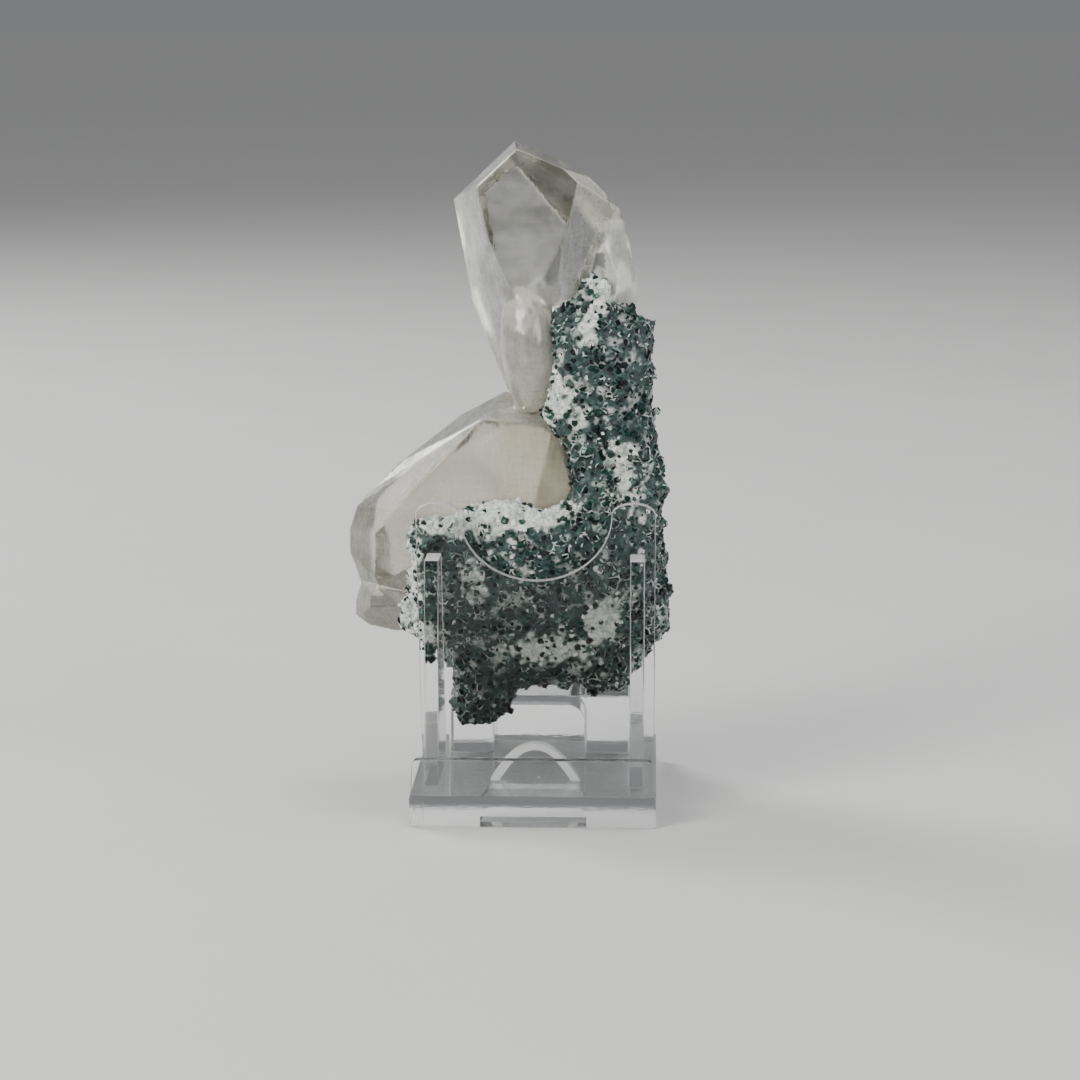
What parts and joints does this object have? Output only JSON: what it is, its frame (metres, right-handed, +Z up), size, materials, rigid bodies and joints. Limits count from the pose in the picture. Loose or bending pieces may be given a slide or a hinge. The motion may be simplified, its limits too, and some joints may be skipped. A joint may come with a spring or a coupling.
{
  "type": "crystal specimen",
  "caption": "Clear calcite crystals on green and white granular matrix, propped on a clear moulded display stand with a leaning wavy back plate.",
  "frame": {"origin": "middle of the stand's underside, on the surface it stands on", "axes": "+Z up, +X to the right as the specimen is viewed, +Y away from the stand's low front wall, so the leaning back plate's top comes towards -Y"},
  "size_m": [0.0754, 0.064, 0.1484],
  "materials": {
    "calcite": "polished natural faces, faintly veiled",
    "green_matrix": "rough, granular",
    "clear_plastic": "clear moulded plastic, glossy"
  },
  "bodies": {
    "root": {"calcite_crystals": "calcite", "matrix": "green_matrix", "stand_base": "clear_plastic", "stand_back": "clear_plastic", "stand_cradle": "clear_plastic"}
  },
  "joints": []
}
